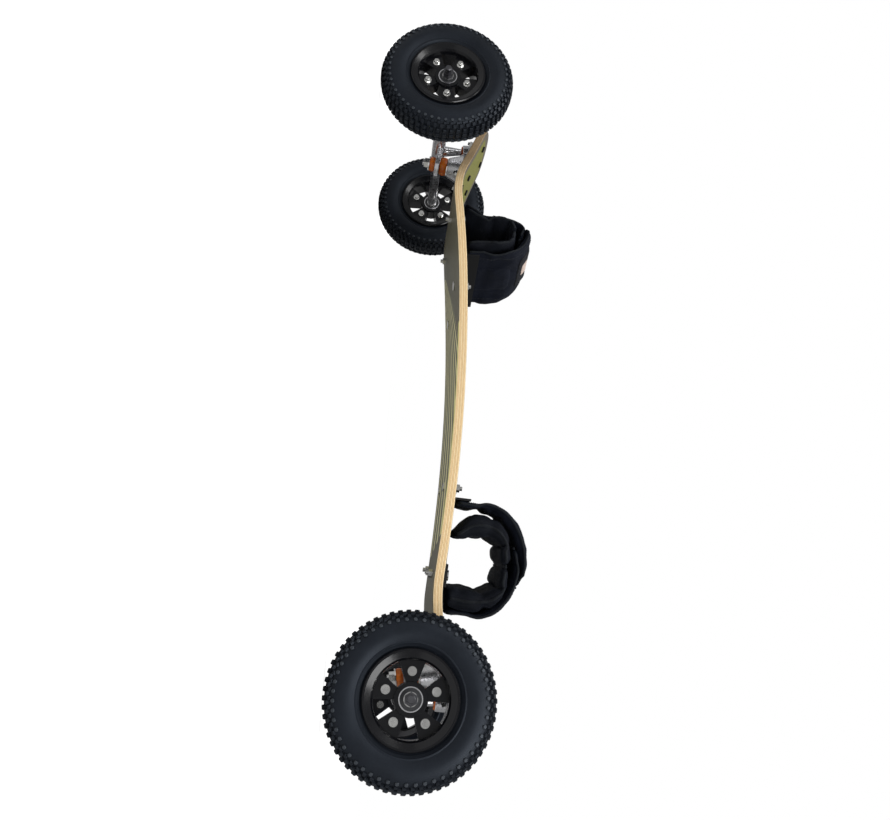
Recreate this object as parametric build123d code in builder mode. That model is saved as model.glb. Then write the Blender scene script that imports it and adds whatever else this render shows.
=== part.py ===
from build123d import *
import os
from math import asin, cos, degrees, radians, sin, tan

# An unpowered all-terrain board on four air-filled tyres, standing on its wheels.
# Millimetres. +X runs along the board towards its front, +Y to its left, +Z up.
# The origin is on the ground, below the middle of the board.

os.makedirs("parts", exist_ok=True)

# ---------------------------------------------------------------- driving dimensions
wheelbase = 878.6          # axle to axle
track = 329.2              # between the middles of a left and a right wheel
tyre_od = 200.0            # an 8 x 2 inch tyre
tyre_width = 50.0

deck_thickness = 12.5
deck_centre_z = 140.6      # underside of the deck at its middle
camber_radius = 2600.0     # the deck bows up along its middle
camber_half_length = 240.0
flat_end_x = 285.0         # the straight stretch ends here and the upturn begins
upturn_radius = 200.0
tip_angle = 20.3           # the tips rise by this much
deck_half_length = 462.0
deck_half_width = 110.0

bolt_spacing_long = 63.5   # truck bolt pattern
bolt_spacing_wide = 41.3
truck_centre_x = 410.3     # middle of the bolt pattern on the tip's underside
truck_bolt_r = 2.5

axle_r = 6.0
axle_end_r = 5.0           # threaded for the nut
axle_tip_r = 4.8           # turned down beyond the nut
axle_half_length = 195.0
kingpin_r = 4.75
kingpin_lean = 12.0        # from the square to the tip, towards the middle of the board
running_gap = 0.04

bearing_od = 28.0          # 12 x 28 x 8 bearings
bearing_width = 8.0
shield_inner_r = 8.6       # the shield lies a little below the rings
shield_outer_r = 11.6
shield_depth = 0.5
bearing_face = 13.0        # outer face of each bearing from the wheel's middle plane
hub_lip_face = 22.3
hub_lip_r = 55.7
spoke_count = 5
hub_bolt_circle_r = 30.6

stance_half = 249.0        # middle of each foot place from the middle of the board
duck_angle = 11.0          # each foot strap is turned out by this much
strap_middle = {"front": 247.0, "rear": 249.0}      # the front strap is pulled tighter
strap_half_width = {"front": 59.0, "rear": 81.0}    # outside of each strap arch
strap_height = 108.0
strap_leg_height = 44.0    # the arch's sides are straight up to here
strap_length = 135.0       # along the foot
bracket_thickness = 3.0

ends = {"front": 1, "rear": -1}
sides = {"left": 1, "right": -1}


def export(part, name):
    part.label = name
    export_step(part, f"parts/{name}.step")


def end_turn(part, end):
    """A front piece as it stands, or turned half round for the rear."""
    return part if end == "front" else part.rotate(Axis.Z, 180)


def end_mirror(part, end):
    """A front foot strap piece as it stands, or mirrored for the rear, toes turned out too."""
    return part if end == "front" else mirror(part, about=Plane.YZ)


# ---------------------------------------------------------------- deck
# The underside's side line: camber arc, short straight, upturn arc, straight tip.
camber_end_slope = asin(camber_half_length / camber_radius)
camber_drop = camber_radius * (1 - cos(camber_end_slope))
flat_end_z = deck_centre_z - camber_drop - (flat_end_x - camber_half_length) * tan(camber_end_slope)
upturn_centre = (
    flat_end_x + upturn_radius * sin(camber_end_slope),
    flat_end_z + upturn_radius * cos(camber_end_slope),
)


def side_line(lift):
    """Corners of the deck's side line, raised by lift square to the underside."""
    big = camber_radius + lift
    small = upturn_radius - lift
    tip = radians(tip_angle)
    camber_end = (big * sin(camber_end_slope), deck_centre_z - camber_radius + big * cos(camber_end_slope))
    flat_end = (
        upturn_centre[0] - small * sin(camber_end_slope),
        upturn_centre[1] - small * cos(camber_end_slope),
    )
    bottom = (upturn_centre[0], upturn_centre[1] - small)
    upturn_end = (upturn_centre[0] + small * sin(tip), upturn_centre[1] - small * cos(tip))
    run = deck_half_length + 30 - upturn_end[0]
    nose = (upturn_end[0] + run, upturn_end[1] + run * tan(tip))
    crown = (0, deck_centre_z + lift)
    return crown, camber_end, flat_end, bottom, upturn_end, nose


def side_profile(low, high):
    """Closed side profile of the front half, between two lifts above the underside."""
    with BuildSketch(Plane.XZ) as profile:
        with BuildLine():
            for lift in (low, high):
                crown, camber_end, flat_end, bottom, upturn_end, nose = side_line(lift)
                middle = camber_end_slope / 2
                big = camber_radius + lift
                camber_middle = (big * sin(middle), deck_centre_z - camber_radius + big * cos(middle))
                ThreePointArc(crown, camber_middle, camber_end)
                Line(camber_end, flat_end)
                ThreePointArc(flat_end, bottom, upturn_end)
                Line(upturn_end, nose)
            Line(side_line(low)[0], side_line(high)[0])
            Line(side_line(low)[-1], side_line(high)[-1])
        make_face()
    return profile.sketch


def deck_top(x):
    """Height and outward fall, in degrees, of the deck's top on the camber arc."""
    slope = asin(x / (camber_radius + deck_thickness))
    height = deck_centre_z - camber_radius + (camber_radius + deck_thickness) * cos(slope)
    return height, degrees(slope)


tip_up = side_line(0)[4]
tip_origin = (truck_centre_x, 0, tip_up[1] + (truck_centre_x - tip_up[0]) * tan(radians(tip_angle)))
tip = Plane(
    origin=tip_origin,
    x_dir=(cos(radians(tip_angle)), 0, sin(radians(tip_angle))),
    z_dir=(-sin(radians(tip_angle)), 0, cos(radians(tip_angle))),
)
tip_side = Plane(origin=tip_origin, x_dir=tip.x_dir, z_dir=-tip.y_dir)


def turned_out(origin, fall):
    """Plane at origin that falls outwards by fall degrees, turned out like the foot."""
    outwards = Vector(cos(radians(fall)), 0, -sin(radians(fall)))
    turn = radians(duck_angle)
    return Plane(
        origin=origin,
        x_dir=outwards * cos(turn) - Vector(0, 1, 0) * sin(turn),
        z_dir=(sin(radians(fall)), 0, cos(radians(fall))),
    )


inner_bracket_centre = stance_half - 100.0
bracket_height, bracket_fall = deck_top(inner_bracket_centre)
inner_plane = turned_out((inner_bracket_centre, 0, bracket_height), bracket_fall)
bolt_places = [(0, -50), (0, 50)]

# A strap's own plane lies across the deck from its inner to its outer leg.
strap_fall = 3.1
strap_root_z = 143.2
foot_plane = turned_out((stance_half, 0, strap_root_z), strap_fall)
strap_planes = {end: turned_out((strap_middle[end], 0, strap_root_z), strap_fall) for end in ends}
outer_flange_plane = Plane(
    origin=foot_plane.from_local_coords((21.0, 0, 0.4)),
    x_dir=foot_plane.x_dir,
    z_dir=foot_plane.z_dir,
)

with BuildPart() as front_half:
    with BuildSketch(Plane.XZ):
        add(side_profile(0, deck_thickness))
    extrude(amount=deck_half_width + 10, both=True)
with BuildPart() as outline:
    with BuildSketch(Plane.XY):
        with BuildLine():
            waist = Spline(
                (-1, deck_half_width), (334, 84), (398, 63), (432, 59),
                tangents=[(1, 0), (1, -0.05)],
            )
            Spline(waist @ 1, (453, 42), (deck_half_length, 0), tangents=[(1, -0.05), (0, -1)])
            mirror(about=Plane.XZ)
            Line((-1, deck_half_width), (-1, -deck_half_width))
        make_face()
    extrude(amount=260)
with BuildPart() as deck_half:
    add(front_half.part)
    add(outline.part, mode=Mode.INTERSECT)
    with BuildSketch(tip):
        with GridLocations(bolt_spacing_long, bolt_spacing_wide, 2, 2):
            Circle(truck_bolt_r + 0.15)
    extrude(amount=deck_thickness + 1, both=True, mode=Mode.SUBTRACT)
    with BuildSketch(inner_plane):
        with Locations(*bolt_places):
            Circle(3.1)
    extrude(amount=deck_thickness + 8, both=True, mode=Mode.SUBTRACT)
    with BuildSketch(outer_flange_plane):
        with Locations(*bolt_places):
            Circle(3.1)
    extrude(amount=deck_thickness + 14, both=True, mode=Mode.SUBTRACT)
with BuildPart() as deck:
    add(deck_half.part)
    mirror(about=Plane.YZ)
export(deck.part, "deck")

# Thin grip pads lie on the deck under the feet.
pad_thickness = 2.0
pad_inner_x = 204.0
pad_outer_x = 330.0
with BuildPart() as footpad:
    with BuildSketch(Plane.XZ):
        add(side_profile(deck_thickness, deck_thickness + pad_thickness))
    extrude(amount=deck_half_width, both=True)
    with BuildSketch(Plane.XY):
        with Locations(((pad_inner_x + pad_outer_x) / 2, 0)):
            RectangleRounded(pad_outer_x - pad_inner_x, 150, 14)
    extrude(amount=260, mode=Mode.INTERSECT)
    with BuildSketch(outer_flange_plane):
        with Locations(*bolt_places):
            Circle(3.1)
    extrude(amount=30, both=True, mode=Mode.SUBTRACT)
for end in ends:
    export(end_mirror(footpad.part, end), f"{end}_footpad")

# ---------------------------------------------------------------- trucks
# Each truck is drawn in the plane of its tip: u outwards along the tip, v down from it.
lean = radians(kingpin_lean)
kingpin_start_u = -7.0
pivot_u = 27.0
pivot_v = -17.0
seat_drop = 31.0           # along the kingpin, from the tip's underside
washer_thickness = 1.5
boardside_end = 44.5
ring_thickness = 8.0
ring_end = boardside_end + ring_thickness
roadside_end = ring_end + 9.5
cup_thickness = 2.0
kingpin_nut_height = 7.0
kingpin_end = roadside_end + cup_thickness + kingpin_nut_height + 3
ring_hole_r = 7.5
ring_r = 20.0
base_thickness = 6.0

kingpin_top = tip.from_local_coords((kingpin_start_u, 0, 0))
kingpin_up = tip.from_local_coords((kingpin_start_u + sin(lean), 0, cos(lean))) - kingpin_top
kingpin_across = tip.from_local_coords((kingpin_start_u + cos(lean), 0, -sin(lean))) - kingpin_top


def kingpin_plane(drop):
    """Plane square to the kingpin, this far down it."""
    return Plane(origin=kingpin_top - kingpin_up * drop, x_dir=kingpin_across, z_dir=kingpin_up)


pivot = tip.from_local_coords((pivot_u, 0, pivot_v))
axle_centre = Vector(wheelbase / 2, 0, tyre_od / 2)
ring_centre = kingpin_plane((boardside_end + ring_end) / 2).origin
steer_axis = (pivot - ring_centre).normalized()
nose_way = (axle_centre - pivot).normalized()
nose_length = (axle_centre - pivot).length
pivot_ball_r = 6.0
cup_r = 9.5
housing_r = 11.5


def pivot_plane(drop):
    """Plane square to the hanger's nose, this far from the pivot towards the axle."""
    return Plane(origin=pivot + nose_way * drop, x_dir=(0, 1, 0), z_dir=nose_way)


with BuildPart() as base:
    with BuildSketch(tip):
        RectangleRounded(80, 56, 9)
    extrude(amount=-base_thickness)
    with BuildSketch(kingpin_plane(seat_drop)):
        Circle(16)
    with BuildSketch(kingpin_plane(7)):
        Circle(25)
    loft()
    with BuildSketch(tip_side):
        with BuildLine():
            Polyline((-4, -3), (-4, -29), (2, -27), (17, -19), (24, -3), close=True)
        make_face()
    extrude(amount=5, both=True)
    with BuildSketch(pivot_plane(3)):
        Circle(housing_r)
    extrude(amount=-17)
    with BuildSketch(tip_side):
        Rectangle(120, 60, align=(Align.CENTER, Align.MIN))
    extrude(amount=40, both=True, mode=Mode.SUBTRACT)
    with BuildSketch(pivot_plane(-9)):
        Circle(cup_r)
    extrude(amount=20, mode=Mode.SUBTRACT)
    with BuildSketch(kingpin_plane(0)):
        Circle(kingpin_r + 0.05)
    extrude(amount=40, both=True, mode=Mode.SUBTRACT)
    with BuildSketch(kingpin_plane(8)):
        RegularPolygon(8.3, 6)
    extrude(amount=20, mode=Mode.SUBTRACT)
    with BuildSketch(tip):
        with GridLocations(bolt_spacing_long, bolt_spacing_wide, 2, 2):
            Circle(truck_bolt_r + 0.15)
    extrude(amount=-base_thickness * 2, mode=Mode.SUBTRACT)

with BuildPart() as pivot_cup:
    with BuildSketch(pivot_plane(-9)):
        Circle(cup_r)
    extrude(amount=13.5)
    with BuildSketch(pivot_plane(0)):
        Circle(pivot_ball_r + 0.06)
    extrude(amount=20, mode=Mode.SUBTRACT)
    with Locations(Location(pivot)):
        Sphere(pivot_ball_r + 0.06, mode=Mode.SUBTRACT)

with BuildPart() as kingpin:
    with BuildSketch(kingpin_plane(kingpin_end)):
        Circle(kingpin_r)
    extrude(amount=kingpin_end - 8)
    with BuildSketch(kingpin_plane(8)):
        RegularPolygon(8.2, 6)
    extrude(amount=6)

with BuildPart() as kingpin_nut:
    with BuildSketch(kingpin_plane(roadside_end + cup_thickness)):
        RegularPolygon(8.4, 6)
        Circle(kingpin_r + 0.02, mode=Mode.SUBTRACT)
    extrude(amount=-kingpin_nut_height)

with BuildPart() as cup_washers:
    with BuildSketch(kingpin_plane(seat_drop)):
        Circle(15)
        Circle(kingpin_r + 0.15, mode=Mode.SUBTRACT)
    extrude(amount=-washer_thickness)
    with BuildSketch(kingpin_plane(roadside_end)):
        Circle(12)
        Circle(kingpin_r + 0.15, mode=Mode.SUBTRACT)
    extrude(amount=-cup_thickness)


def bushing(top, bottom, end_r, middle_r):
    """A barrel-shaped urethane bushing on the kingpin, between two drops."""
    side = Plane(origin=kingpin_top, x_dir=kingpin_across, z_dir=(0, -1, 0))
    with BuildPart() as piece:
        with BuildSketch(side):
            with BuildLine():
                ThreePointArc((end_r, -top), (middle_r, -(top + bottom) / 2), (end_r, -bottom))
                bore = kingpin_r + 0.15
                Polyline((end_r, -bottom), (bore, -bottom), (bore, -top), (end_r, -top))
            make_face()
        revolve(axis=Axis(kingpin_top, kingpin_up))
    return piece.part


boardside_bushing = bushing(seat_drop + washer_thickness, boardside_end, 13.0, 15.0)
roadside_bushing = bushing(ring_end, roadside_end, 10.5, 12.0)

# The hanger: ring, arm tubes, and a nose that ends in the pivot ball.
arm_end = track / 2 - bearing_face - 1.8
with BuildPart() as hanger:
    with BuildSketch(Plane(origin=axle_centre, x_dir=(0, 1, 0), z_dir=(0, 0, 1))):
        with BuildLine():
            Polyline(
                (-arm_end, 0), (-arm_end, 7.4), (-138, 8.0), (-62, 8.0), (-20, 11.0),
                (20, 11.0), (62, 8.0), (138, 8.0), (arm_end, 7.4), (arm_end, 0), close=True,
            )
        make_face()
    revolve(axis=Axis(axle_centre, (0, 1, 0)))
    with BuildSketch(kingpin_plane(ring_end)):
        Circle(ring_r)
        with Locations((14, 0)):
            Rectangle(28, 2 * ring_r)
    extrude(amount=ring_thickness)
    with BuildSketch(pivot_plane(nose_length)):
        Circle(10)
    with BuildSketch(pivot_plane(3)):
        Circle(4.9)
    loft()
    with Locations(Location(pivot)):
        Sphere(pivot_ball_r)
    with BuildSketch(kingpin_plane(ring_end + 10)):
        Circle(ring_hole_r)
    extrude(amount=30, mode=Mode.SUBTRACT)
    with BuildSketch(Plane(origin=axle_centre, x_dir=(1, 0, 0), z_dir=(0, 1, 0))):
        Circle(axle_r + 0.02)
    extrude(amount=axle_half_length, both=True, mode=Mode.SUBTRACT)

shoulder = track / 2 + bearing_face + 0.2
outer_washer = 1.5
axle_nut_height = 8.0
nut_face = shoulder + outer_washer + axle_nut_height
thread_beyond_nut = 0.3
with BuildPart() as axle:
    with BuildSketch(Plane(origin=axle_centre, x_dir=(1, 0, 0), z_dir=(0, 1, 0))):
        Circle(axle_r)
    extrude(amount=shoulder, both=True)
    with BuildSketch(Plane(origin=axle_centre, x_dir=(1, 0, 0), z_dir=(0, 1, 0))):
        Circle(axle_end_r)
    extrude(amount=nut_face + thread_beyond_nut, both=True)
    with BuildSketch(Plane(origin=axle_centre, x_dir=(1, 0, 0), z_dir=(0, 1, 0))):
        Circle(axle_tip_r)
    extrude(amount=axle_half_length, both=True)
    chamfer(axle.faces().filter_by(Axis.Y).sort_by(Axis.Y)[0].edges(), 0.8)
    chamfer(axle.faces().filter_by(Axis.Y).sort_by(Axis.Y)[-1].edges(), 0.8)

with BuildPart() as axle_nuts:
    for side in sides.values():
        seat = axle_centre + Vector(0, side * (shoulder + outer_washer), 0)
        with BuildSketch(Plane(origin=seat, x_dir=(1, 0, 0), z_dir=(0, side, 0))):
            RegularPolygon(8.2, 6)
            Circle(axle_end_r + 0.02, mode=Mode.SUBTRACT)
        extrude(amount=axle_nut_height)

with BuildPart() as axle_washers:
    for side in sides.values():
        seat = axle_centre + Vector(0, side * shoulder, 0)
        with BuildSketch(Plane(origin=seat, x_dir=(1, 0, 0), z_dir=(0, side, 0))):
            Circle(8.2)
            Circle(axle_end_r + 0.1, mode=Mode.SUBTRACT)
        extrude(amount=outer_washer)
        inside = axle_centre + Vector(0, side * arm_end, 0)
        with BuildSketch(Plane(origin=inside, x_dir=(1, 0, 0), z_dir=(0, side, 0))):
            Circle(7.8)
            Circle(axle_r + 0.02, mode=Mode.SUBTRACT)
        extrude(amount=1.6)

truck_pieces = {
    "truck_base": base.part,
    "boardside_bushing": boardside_bushing,
    "roadside_bushing": roadside_bushing,
    "hanger": hanger.part,
    "axle": axle.part,
    "axle_nuts": axle_nuts.part,
    "axle_washers": axle_washers.part,
}
for end in ends:
    for name, piece in truck_pieces.items():
        export(end_turn(piece, end), f"{end}_{name}")


def both_ends(piece, name):
    """One node that holds the same piece at both ends."""
    with BuildPart() as pair:
        add(piece)
        add(piece.rotate(Axis.Z, 180))
    export(pair.part, name)


both_ends(kingpin.part, "kingpins")
both_ends(pivot_cup.part, "pivot_cups")
both_ends(kingpin_nut.part, "kingpin_nuts")
both_ends(cup_washers.part, "cup_washers")

# Truck bolts go down through the tip, with their nuts under the truck's base.
bolt_head_height = 2.6
with BuildPart() as truck_bolts:
    with BuildSketch(tip.offset(deck_thickness)):
        with GridLocations(bolt_spacing_long, bolt_spacing_wide, 2, 2):
            Circle(4.9)
    extrude(amount=bolt_head_height)
    with BuildSketch(tip.offset(-base_thickness - 8)):
        with GridLocations(bolt_spacing_long, bolt_spacing_wide, 2, 2):
            Circle(truck_bolt_r)
    extrude(amount=base_thickness + 8 + deck_thickness)
with BuildPart() as truck_nuts:
    with BuildSketch(tip.offset(-base_thickness)):
        with GridLocations(bolt_spacing_long, bolt_spacing_wide, 2, 2):
            RegularPolygon(4.9, 6)
            Circle(truck_bolt_r + 0.02, mode=Mode.SUBTRACT)
    extrude(amount=-5)
both_ends(truck_bolts.part, "truck_bolts")
both_ends(truck_nuts.part, "truck_nuts")

# ---------------------------------------------------------------- wheels
tyre_middle_r = 76.0
bead_r = 48.2
bead_half = 17.4
bead_width = 8.0
wall = 4.5
window_inner_r = 20.0
window_outer_r = 43.0
window_angle = 32.0
rim_r = 47.8


with BuildSketch() as hub_window:
    with BuildLine():
        outer_arc = CenterArc((0, 0), window_outer_r, -window_angle / 2, window_angle)
        inner_arc = CenterArc((0, 0), window_inner_r, -window_angle / 2, window_angle)
        Line(outer_arc @ 0, inner_arc @ 0)
        Line(outer_arc @ 1, inner_arc @ 1)
    make_face()


def wheel_parts(end, side_name):
    end_sign = ends[end]
    side = sides[side_name]
    centre = Vector(end_sign * axle_centre.X, side * track / 2, axle_centre.Z)
    outwards = Axis(centre, (0, side, 0))
    section = Plane(origin=centre, x_dir=(1, 0, 0), z_dir=(0, 0, side))
    bolt_angle = 0 if end_sign * side < 0 else 180
    prefix = f"{end}_{side_name}"

    def face_plane(height):
        return Plane(origin=centre + Vector(0, side * height, 0), x_dir=(1, 0, 0), z_dir=(0, side, 0))

    with BuildPart() as tyre:
        with BuildSketch(section):
            with BuildLine():
                half = tyre_width / 2
                Line((bead_r, -bead_half), (bead_r + 7.5, -bead_half))
                ThreePointArc(
                    (bead_r + 7.5, -bead_half), (tyre_middle_r - 2, -half), (92.0, -19.0)
                )
                ThreePointArc((92.0, -19.0), (tyre_od / 2, 0), (92.0, 19.0))
                ThreePointArc((92.0, 19.0), (tyre_middle_r - 2, half), (bead_r + 7.5, bead_half))
                Line((bead_r + 7.5, bead_half), (bead_r, bead_half))
                Line((bead_r, bead_half), (bead_r, bead_half - bead_width))
                ThreePointArc(
                    (bead_r, bead_half - bead_width), (tyre_middle_r - 2, half - wall), (88.0, 16.0)
                )
                ThreePointArc((88.0, 16.0), (tyre_od / 2 - wall - 2.5, 0), (88.0, -16.0))
                ThreePointArc(
                    (88.0, -16.0), (tyre_middle_r - 2, wall - half), (bead_r, bead_width - bead_half)
                )
                Line((bead_r, bead_width - bead_half), (bead_r, -bead_half))
            make_face()
        revolve(axis=outwards)
    export(tyre.part, f"{prefix}_tyre")

    with BuildPart() as inner_tube:
        with BuildSketch(section):
            with Locations((70.5, 0)):
                Ellipse(21.5, 16.5)
                Ellipse(20.0, 15.0, mode=Mode.SUBTRACT)
        revolve(axis=outwards)
    export(inner_tube.part, f"{prefix}_inner_tube")

    for half_name, way in (("outer", 1), ("inner", -1)):
        with BuildPart() as hub:
            with BuildSketch(section):
                with BuildLine():
                    Polyline(
                        (9.5, 0), (rim_r, 0), (rim_r, way * 17.6), (53.5, way * 18.4),
                        (hub_lip_r, way * 19.4), (hub_lip_r, way * 21.3), (54.6, way * hub_lip_face),
                        (52.5, way * hub_lip_face), (45.4, way * 19.6), (43.4, way * 16.0),
                        (window_outer_r, way * 10.0), (19.6, way * 10.0), (19.0, way * bearing_face),
                        (bearing_od / 2 + 0.02, way * bearing_face),
                        (bearing_od / 2 + 0.02, way * (bearing_face - bearing_width)),
                        (9.5, way * (bearing_face - bearing_width)), close=True,
                    )
                make_face()
            revolve(axis=outwards)
            with BuildSketch(face_plane(-30)):
                with PolarLocations(0, spoke_count, start_angle=bolt_angle + 180 / spoke_count):
                    add(hub_window.sketch)
                with PolarLocations(hub_bolt_circle_r, spoke_count, start_angle=bolt_angle):
                    Circle(2.6)
            extrude(amount=60, mode=Mode.SUBTRACT)
        export(hub.part, f"{prefix}_hub_{half_name}")

    with BuildPart() as hub_bolts:
        for way in (1, -1):
            for height, thickness, outer_r, corners in ((10.0, 1.0, 5.3, 0), (11.0, 4.0, 4.3, 6)):
                plane = face_plane(way * height)
                with BuildSketch(plane):
                    with PolarLocations(hub_bolt_circle_r, spoke_count, start_angle=bolt_angle):
                        if corners:
                            RegularPolygon(outer_r, corners)
                        else:
                            Circle(outer_r)
                extrude(amount=way * thickness)
        with BuildSketch(face_plane(-12)):
            with PolarLocations(hub_bolt_circle_r, spoke_count, start_angle=bolt_angle):
                Circle(2.5)
        extrude(amount=28)
    export(hub_bolts.part, f"{prefix}_hub_bolts")

    with BuildPart() as bearings:
        for way in (1, -1):
            with BuildSketch(face_plane(way * (bearing_face - bearing_width))):
                Circle(bearing_od / 2)
                Circle(axle_r + running_gap, mode=Mode.SUBTRACT)
            extrude(amount=way * bearing_width)
            with BuildSketch(face_plane(way * (bearing_face - shield_depth))):
                Circle(shield_outer_r)
                Circle(shield_inner_r, mode=Mode.SUBTRACT)
            extrude(amount=way * 2 * shield_depth, mode=Mode.SUBTRACT)
    export(bearings.part, f"{prefix}_bearings")


for end in ends:
    for side_name in sides:
        wheel_parts(end, side_name)

# ---------------------------------------------------------------- foot straps
# An arch section is drawn across the foot: straight sides below an elliptical top.
arch_rise = strap_height - strap_leg_height


def across_foot(end):
    """Plane that a strap's arch is drawn in: across the foot and up."""
    plane = strap_planes[end]
    return Plane(origin=plane.origin, x_dir=plane.x_dir, z_dir=-plane.y_dir)


def strap_band(end, inset_0, inset_1, side, sweep, foot):
    """Band of the arch between two insets, up one side and sweep degrees over the top."""
    half_width = strap_half_width[end]
    with BuildPart() as band:
        with BuildSketch(across_foot(end)):
            with BuildLine():
                ends_of_arc = []
                for inset in (inset_0, inset_1):
                    half = half_width - inset
                    arc = EllipticalCenterArc(
                        (0, strap_leg_height), half, arch_rise - inset,
                        start_angle=0 if side > 0 else 180, arc_size=side * sweep,
                    )
                    Line((side * half, foot), (side * half, strap_leg_height))
                    ends_of_arc.append(arc @ 1)
                Line(*ends_of_arc)
                Line((side * (half_width - inset_0), foot), (side * (half_width - inset_1), foot))
            make_face()
        extrude(amount=strap_length / 2, both=True)
    return band.part


strap_thickness = 8.0
liner_inset = 16.8
liner_thickness = 11.0
for end in ends:
    strap_pieces = {
        "inner_strap": strap_band(end, 0, strap_thickness, -1, 112, 4),
        "outer_strap": strap_band(end, strap_thickness + 0.3, 2 * strap_thickness + 0.3, 1, 112, 4),
        "inner_liner": strap_band(end, liner_inset, liner_inset + liner_thickness, -1, 80, 5),
        "outer_liner": strap_band(end, liner_inset, liner_inset + liner_thickness, 1, 80, 5),
    }
    for name, piece in strap_pieces.items():
        export(end_mirror(piece, end), f"{end}_{name}")


# L-shaped brackets hold the straps: the inner ones reach towards the middle of the board,
# the outer ones lie under the foot.
bracket_width = 125.0


bolt_head_thickness = 2.2
bolt_beyond_seat = 9.0
bolt_nut_height = 5.5


def bolt_stack(plane, top_seat, bottom_seat, head_up):
    """Bolts between two seats, and their nuts: a low head on one seat, a nut on the other."""
    way = 1 if head_up else -1
    head_seat, nut_seat = (top_seat, bottom_seat) if head_up else (bottom_seat, top_seat)
    with BuildPart() as bolts:
        with BuildSketch(plane.offset(head_seat)):
            with Locations(*bolt_places):
                Circle(3.0)
        extrude(amount=nut_seat - way * bolt_beyond_seat - head_seat)
        with BuildSketch(plane.offset(head_seat)):
            with Locations(*bolt_places):
                Circle(7.0)
        extrude(amount=way * bolt_head_thickness)
    with BuildPart() as nuts:
        with BuildSketch(plane.offset(nut_seat)):
            with Locations(*bolt_places):
                RegularPolygon(5.6, 6)
                Circle(3.02, mode=Mode.SUBTRACT)
        extrude(amount=-way * bolt_nut_height)
    return bolts.part, nuts.part


def inner_bracket_piece(end):
    """Bolted down near the middle of the board; its upright stands against the strap's inner leg."""
    leg = strap_planes[end].from_local_coords((-strap_half_width[end], 0, 0))
    flange_end = inner_plane.to_local_coords(leg).X - 0.4
    flange_length = flange_end - inner_flange_start
    with BuildPart() as inner_bracket:
        with BuildSketch(inner_plane.offset(0.15)):
            with Locations((inner_flange_start + flange_length / 2, 0)):
                RectangleRounded(flange_length, bracket_width, 4)
            with Locations(*bolt_places):
                Circle(3.1, mode=Mode.SUBTRACT)
        extrude(amount=bracket_thickness)
        with BuildSketch(across_foot(end)):
            with BuildLine():
                leg_out = -strap_half_width[end] - 0.3
                Polyline(
                    (leg_out - bracket_thickness, 1.5), (leg_out, 1.5), (leg_out, 24),
                    (leg_out - bracket_thickness, 24), close=True,
                )
            make_face()
        extrude(amount=bracket_width / 2, both=True)
    return inner_bracket.part


inner_flange_start = -23.0
inner_brackets = [end_mirror(inner_bracket_piece(end), end) for end in ends]
with BuildPart() as outer_bracket:
    with BuildSketch(outer_flange_plane):
        Rectangle(30, bracket_width)
        with Locations(*bolt_places):
            Circle(3.1, mode=Mode.SUBTRACT)
    extrude(amount=bracket_thickness)
bracket_seat = 0.15 + bracket_thickness
inner_bolts, inner_nuts = bolt_stack(inner_plane, bracket_seat, -deck_thickness - 0.3, False)
outer_bolts, outer_nuts = bolt_stack(outer_flange_plane, bracket_thickness, -deck_thickness - 4.0, True)
with BuildPart() as inner_bracket_pair:
    for piece in inner_brackets:
        add(piece)
export(inner_bracket_pair.part, "inner_brackets")
binding_groups = {
    "outer_brackets": [outer_bracket.part],
    "binding_bolts": [inner_bolts, outer_bolts],
    "binding_nuts": [inner_nuts, outer_nuts],
}
for name, pieces in binding_groups.items():
    with BuildPart() as group:
        for piece in pieces:
            add(piece)
        mirror(about=Plane.YZ)
    export(group.part, name)
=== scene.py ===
import math

import bmesh
import bpy
from mathutils import Matrix, Vector, noise
from mathutils.bvhtree import BVHTree
from mathutils.kdtree import KDTree


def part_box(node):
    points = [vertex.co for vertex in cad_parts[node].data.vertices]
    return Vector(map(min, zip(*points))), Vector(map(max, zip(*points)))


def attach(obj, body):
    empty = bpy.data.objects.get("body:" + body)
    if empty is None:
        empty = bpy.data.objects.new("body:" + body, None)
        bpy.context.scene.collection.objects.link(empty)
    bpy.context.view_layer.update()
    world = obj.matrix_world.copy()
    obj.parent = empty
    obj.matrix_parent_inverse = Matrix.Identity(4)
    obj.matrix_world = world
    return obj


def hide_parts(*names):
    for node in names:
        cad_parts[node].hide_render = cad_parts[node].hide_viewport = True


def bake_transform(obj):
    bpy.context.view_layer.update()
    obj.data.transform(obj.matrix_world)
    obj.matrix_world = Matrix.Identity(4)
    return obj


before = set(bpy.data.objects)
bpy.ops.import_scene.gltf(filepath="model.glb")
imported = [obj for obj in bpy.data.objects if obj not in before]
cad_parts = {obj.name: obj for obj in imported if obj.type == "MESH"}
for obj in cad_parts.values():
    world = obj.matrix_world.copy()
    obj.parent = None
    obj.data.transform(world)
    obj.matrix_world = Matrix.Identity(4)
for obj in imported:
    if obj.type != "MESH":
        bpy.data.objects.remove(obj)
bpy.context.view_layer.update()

# An unpowered all-terrain board on four air-filled tyres. Metres, in the part's own frame:
# +X to the board's front, +Y to its left, +Z up.

ENDS = {"front": 1, "rear": -1}
SIDES = {"left": 1, "right": -1}
WHEELS = [(end, side) for end in ENDS for side in SIDES]
MM = 0.001


# ---------------------------------------------------------------- node helpers
def new_material(name, color, roughness, metallic=0.0):
    """A Principled material, as (material, node tree, shader)."""
    material = bpy.data.materials.new(name)
    material.use_nodes = True
    tree = material.node_tree
    shader = tree.nodes["Principled BSDF"]
    shader.inputs["Base Color"].default_value = (*color, 1)
    shader.inputs["Roughness"].default_value = roughness
    shader.inputs["Metallic"].default_value = metallic
    return material, tree, shader


def plug(tree, value, socket):
    """Links an output to a socket, or sets the socket to a value."""
    if isinstance(value, bpy.types.NodeSocket):
        tree.links.new(value, socket)
    else:
        socket.default_value = value


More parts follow.
